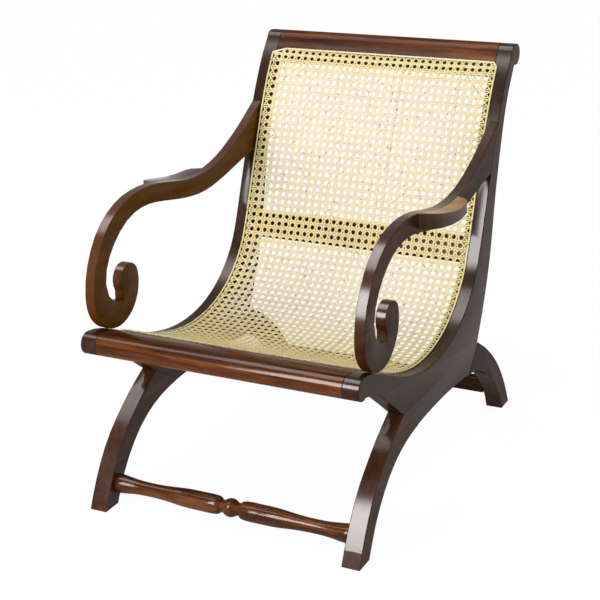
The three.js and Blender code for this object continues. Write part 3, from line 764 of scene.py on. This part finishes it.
def lay_on_seat(mesh):
    """Move a mesh from the bench to the seat, and turn its faces outwards."""
    for point in mesh.vertices:
        point.co = seat.laid(*point.co)
    form = bmesh.new()
    form.from_mesh(mesh)
    bmesh.ops.recalc_face_normals(form, faces=form.faces)
    smooth_into(mesh, form, STRAND_SHARP_OVER)


# %% Sweep strands
def sweep(name, runs, width, thickness, material):
    """Sweep flat runs of (across, along, height) points, then lay them on the seat."""
    data = bpy.data.curves.new(name, "CURVE")
    data.dimensions = "3D"
    data.twist_mode = "Z_UP"
    data.use_fill_caps = True
    for run in runs:
        spline = data.splines.new("POLY")
        spline.points.add(len(run) - 1)
        for point, place in zip(spline.points, run):
            point.co = (*place, 1.0)
    section = strand_section(width, thickness)
    data.bevel_mode = "OBJECT"
    data.bevel_object = section
    swept = put_in_scene(name + "_sweep", data)
    bpy.context.view_layer.update()
    mesh = bpy.data.meshes.new_from_object(swept.evaluated_get(bpy.context.evaluated_depsgraph_get()))
    for done in (swept, section):
        bpy.data.objects.remove(done)
    store_facts(mesh, runs)
    lay_on_seat(mesh)
    mesh.materials.clear()
    mesh.materials.append(material)
    piece = put_in_scene(name, mesh)
    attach(piece, "root")
    print(name, "strands:", len(runs), "vertices:", len(mesh.vertices), "faces:", len(mesh.polygons))
    return piece


# %% [markdown]
# ## Over and under
# Within each pair the strands lock: the first of a pair goes over one of the crossing pair and under
# the other, and the second does the reverse. The slanting strands ride high over the pairs they
# cross in one direction and low under the others. A little unevenness in where each strand lies is
# what a hand leaves, and it breaks up the pattern as it does in a real panel.

# %% Ends of a run
CORNER_MARGIN = 1.1
FEWEST_STEPS = 3


def inside(place):
    """Whether a place lies within the panel, with its two top corners cut."""
    across, distance, _ = place
    left = (across + PANEL_EDGE) / LEFT_CUT[0] + (PANEL_TOP - distance) / LEFT_CUT[1]
    right = (PANEL_EDGE - across) / RIGHT_CUT[0] + (PANEL_TOP - distance) / RIGHT_CUT[1]
    return min(left, right) > CORNER_MARGIN


def into_holes(run):
    """A run drawn by the hand and cut to the panel, with both ends turned down into the frame."""
    places = [(across, distance + drawn(across, distance), height) for across, distance, height in run]
    kept = [place for place in places if inside(place)]
    bottom = MID_HEIGHT - HOLE_DEPTH
    return [(*kept[0][:2], bottom), *kept[1:-1], (*kept[-1][:2], bottom)]


# %% Runs of strands
def lengthwise_runs():
    """Pairs from nose to head, which wave over and under the pairs that cross them."""
    runs = []
    for column in range(1, SPACES_ACROSS - 1):
        for member in (-1, 1):
            across = -HOLE_LINE + (column + 0.5) * PITCH_X + member * PAIR_GAP_X / 2 + wander()
            run = []
            for step in range(STEPS_IN_SPACE * SPACES_ALONG + 1):
                row = step / STEPS_IN_SPACE
                height = MID_HEIGHT - member * PAIR_LIFT * math.sin(2 * math.pi * row)
                run.append((across + wander(STEP_WANDER_MM), FRONT_HOLES + row * PITCH_S, height))
            runs.append(into_holes(run))
    return runs


def crosswise_runs():
    """Pairs from side to side, which wave the other way."""
    runs = []
    for row in range(1, SPACES_ALONG):
        for member in (-1, 1):
            distance = FRONT_HOLES + row * PITCH_S + member * PAIR_GAP_S / 2 + wander()
            run = []
            for step in range(STEPS_IN_SPACE * SPACES_ACROSS + 1):
                column = step / STEPS_IN_SPACE
                height = MID_HEIGHT + member * PAIR_LIFT * math.sin(2 * math.pi * (column - 0.5))
                run.append((-HOLE_LINE + column * PITCH_X, distance + wander(STEP_WANDER_MM), height))
            runs.append(into_holes(run))
    return runs


def slanting_runs(direction):
    """Single strands at a slant, over the lengthwise pairs and under the others, or the reverse."""
    runs = []
    for start in range(-SPACES_ALONG + 1, SPACES_ACROSS):
        first = max(start, 0)
        last = min(start + SPACES_ALONG, SPACES_ACROSS)
        run = []
        shift = wander()
        for step in range(STEPS_IN_SPACE * (last - first) + 1):
            column = first + step / STEPS_IN_SPACE
            row = column - start
            height = MID_HEIGHT - direction * SLANT_LIFT * math.cos(2 * math.pi * column)
            across = direction * (-HOLE_LINE + column * PITCH_X)
            run.append((across + shift, FRONT_HOLES + row * PITCH_S - shift * direction, height))
        runs.append(run)
    return [into_holes(run) for run in runs if sum(map(inside, run)) > FEWEST_STEPS]


# %% Weave the panel
def weave(title, runs):
    return sweep("cane_" + title, runs, STRAND_WIDTH, STRAND_THICKNESS, cane_material)


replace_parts(weave("lengthwise", lengthwise_runs()), "cane_panel")
crossing = {"crosswise": crosswise_runs(), "slant_up": slanting_runs(1), "slant_down": slanting_runs(-1)}
for title, runs in crossing.items():
    weave(title, runs)

# %% [markdown]
# ## The rails' inner lip
# Beside both long edges the first half space of the weave lies over wood: the rail carries a lip a
# little wider than its body there. Swept like a strand, one flat strip along each rail follows the
# cane's own curve, just under it, with nothing to cut or join.

# %% Lips under the cane's edges
LIP_WIDTH = 9.0 * MM
LIP_THICKNESS = 7.0 * MM
LIP_EDGE = 285.6 * MM
LIP_CLEARANCE = 0.3 * MM
LIP_STEPS = 120
LIP_STEPS_KEPT = range(1, 118)


def lip(side):
    """The middle line of one lip, a little short of the panel's ends."""
    across = side * (LIP_EDGE - LIP_WIDTH / 2)
    height = -LIP_THICKNESS / 2 - LIP_CLEARANCE
    length = TOP_HOLES - FRONT_HOLES
    return [(across, FRONT_HOLES + length * k / LIP_STEPS, height) for k in LIP_STEPS_KEPT]


sweep("rail_lips", [lip(-1), lip(1)], LIP_WIDTH, LIP_THICKNESS, rail_wood)

# %% [markdown]
# ## Binder cane
# A wider, flat strip covers the holes and is stitched down through them by a fine strand. It runs
# along the front, the two sides and the top, where it cuts across the corners. Strip and stitches
# are swept and laid as the strands are, so they sit on the same curve.

# %% Binder
BINDER_WIDTH = 4.2 * MM
BINDER_THICKNESS = 1.1 * MM
BINDER_HEIGHT = 3.1 * MM
BINDER_EDGE = PANEL_EDGE - BINDER_WIDTH / 2
BINDER_TOP = PANEL_TOP - BINDER_WIDTH / 2
LONG_STEPS, SHORT_STEPS, LEFT_CUT_STEPS, RIGHT_CUT_STEPS = 120, 40, 6, 4


def straight_run(start, end, count):
    return [tuple(a + (b - a) * k / count for a, b in zip(start, end)) for k in range(count + 1)]


def binder_runs():
    """The middle lines of the four strips, a little above the weave."""
    front_left, front_right = ((side * BINDER_EDGE, FRONT_HOLES, BINDER_HEIGHT) for side in (-1, 1))
    below_left = (-BINDER_EDGE, BINDER_TOP - LEFT_CUT[1], BINDER_HEIGHT)
    top_left = (-BINDER_EDGE + LEFT_CUT[0], BINDER_TOP, BINDER_HEIGHT)
    top_right = (BINDER_EDGE - RIGHT_CUT[0], BINDER_TOP, BINDER_HEIGHT)
    below_right = (BINDER_EDGE, BINDER_TOP - RIGHT_CUT[1], BINDER_HEIGHT)
    return {
        "left": straight_run(front_left, below_left, LONG_STEPS),
        "right": straight_run(front_right, below_right, LONG_STEPS),
        "front": straight_run(front_left, front_right, SHORT_STEPS),
        "top": [*straight_run(below_left, top_left, LEFT_CUT_STEPS)[:-1],
                *straight_run(top_left, top_right, SHORT_STEPS)[:-1],
                *straight_run(top_right, below_right, RIGHT_CUT_STEPS)],
    }


for label, run in binder_runs().items():
    strip = sweep("binder_cane_" + label, [run], BINDER_WIDTH, BINDER_THICKNESS, binder_material)
    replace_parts(strip, "binder_" + label)

# %% Stitches
STITCH_WIDTH = 1.6 * MM
STITCH_THICKNESS = 0.7 * MM
STITCH_LIFT = 0.55 * MM
STITCH_DROP = 1.6 * MM
STITCH_SHOULDER = 0.3 * MM
STITCH_FLAT = 0.6


def stitch(across, distance, turned):
    """A short loop over the binder, square to it."""
    reach = BINDER_WIDTH / 2 + STITCH_THICKNESS / 2
    low = BINDER_HEIGHT - STITCH_DROP
    high = BINDER_HEIGHT + STITCH_LIFT + BINDER_THICKNESS / 2
    loop = [(-reach, low), (-reach, high - STITCH_SHOULDER), (-STITCH_FLAT * reach, high),
            (STITCH_FLAT * reach, high), (reach, high - STITCH_SHOULDER), (reach, low)]
    if turned:
        return [(across, distance + out, height) for out, height in loop]
    return [(across + out, distance, height) for out, height in loop]


def stitches():
    """One stitch for every second hole: along both sides, then along the front and the top."""
    runs = []
    for row in range(2, SPACES_ALONG - 1, 2):
        for side in (-1, 1):
            distance = FRONT_HOLES + row * PITCH_S + wander(STITCH_WANDER_MM)
            runs.append(stitch(side * BINDER_EDGE, distance, False))
    for column in range(3, SPACES_ACROSS - 1, 2):
        across = -HOLE_LINE + column * PITCH_X
        for end in (FRONT_HOLES, BINDER_TOP):
            runs.append(stitch(across + wander(STITCH_WANDER_MM), end, True))
    return runs


sweep("binder_stitches", stitches(), STITCH_WIDTH, STITCH_THICKNESS, binder_material)

# %% [markdown]
# ## Floor, lamps and world
# The chair stands on a white floor in even studio light. Lamps strong enough to whiten the floor
# would bleach the chair. So what the camera, a gloss or a clear part sees of the floor is white
# from a share of glow in its material, and the rest of the floor is a plain diffuse white that
# keeps the chair's shadow. The light that falls on the chair stays at a plain level, from a broad
# lamp in front, a weak one overhead and a pale grey world. Three more soft
# boxes are there only to be mirrored: one in front makes the long highlights on the arms, the nose
# and the leg, and two overhead make the paler band over the bend of each arm.

# %% Floor
FLOOR_HALF = 150.0
FLOOR_WHITE = (0.86, 0.86, 0.86, 1.0)
GLOW_WHITE = (1.0, 1.0, 1.0, 1.0)
GLOW_STRENGTH = 1.05
SHADOW_SHARE = 0.10


def add_floor():
    form = bmesh.new()
    bmesh.ops.create_grid(form, x_segments=1, y_segments=1, size=FLOOR_HALF)
    mesh = bpy.data.meshes.new("floor")
    form.to_mesh(mesh)
    form.free()
    floor = put_in_scene("floor", mesh)
    finish = Finish("floor white", Roughness=1.0, Specular_IOR_Level=0.0, Base_Color=FLOOR_WHITE)
    path = finish.node("ShaderNodeLightPath")
    camera, glossy, clear = (Wire(finish, path.socket.node.outputs["Is %s Ray" % kind])
                             for kind in ("Camera", "Glossy", "Transmission"))
    seen = (camera + glossy + clear) * (1 - SHADOW_SHARE)
    glow = finish.node("ShaderNodeEmission", {}, {"Color": GLOW_WHITE, "Strength": GLOW_STRENGTH})
    plain = Wire(finish, finish.shader.outputs[0])
    mixed = finish.node("ShaderNodeMixShader", {}, {0: seen, 1: plain, 2: glow})
    finish.tree.links.new(mixed.socket, finish.tree.nodes["Material Output"].inputs[0])
    mesh.materials.append(finish.material)


add_floor()

# %% World and lamps
WORLD_WHITE = (1.0, 1.0, 1.0, 1.0)
WORLD_LEVEL = 0.50


def add_world():
    world = bpy.data.worlds.new("studio")
    bpy.context.scene.world = world
    world.use_nodes = True
    light = world.node_tree.nodes["Background"]
    light.inputs["Color"].default_value = WORLD_WHITE
    light.inputs["Strength"].default_value = WORLD_LEVEL


def add_lamp(name, place, away, size, radiance, shines=True):
    """A soft box that faces along -away: it either lights the chair or is only mirrored in the lacquer."""
    data = bpy.data.lights.new(name, "AREA")
    data.shape = "RECTANGLE"
    data.size, data.size_y = size
    data.energy = radiance * math.pi * size[0] * size[1]
    lamp = put_in_scene(name, data)
    turn = Vector(away).to_track_quat("Z", "Y").to_matrix().to_4x4()
    lamp.matrix_world = Matrix.Translation(place) @ turn
    lamp.visible_diffuse = shines
    lamp.visible_glossy = not shines


add_world()
add_lamp("key", place=(-1.1, -3.0, 1.1), away=(-0.34, -0.91, 0.23), size=(1.6, 1.2), radiance=9.2)
add_lamp("fill", place=(0.1, -0.8, 3.2), away=(0.03, -0.27, 0.96), size=(2.4, 1.6), radiance=1.0)
add_lamp("mirrored front", place=(-0.88, -3.0, 1.92), away=(0, -1, 0.12), size=(0.95, 1.8),
         radiance=35.0, shines=False)
add_lamp("mirrored overhead", place=(-1.35, -0.40, 4.5), away=(0, 0, 1), size=(1.7, 2.7),
         radiance=10.0, shines=False)
add_lamp("mirrored overhead, far side", place=(-3.0, -0.75, 4.5), away=(0, 0, 1), size=(1.6, 1.9),
         radiance=7.0, shines=False)
bpy.context.scene.view_settings.view_transform = "Standard"
print("lamps:", len(bpy.data.lights))
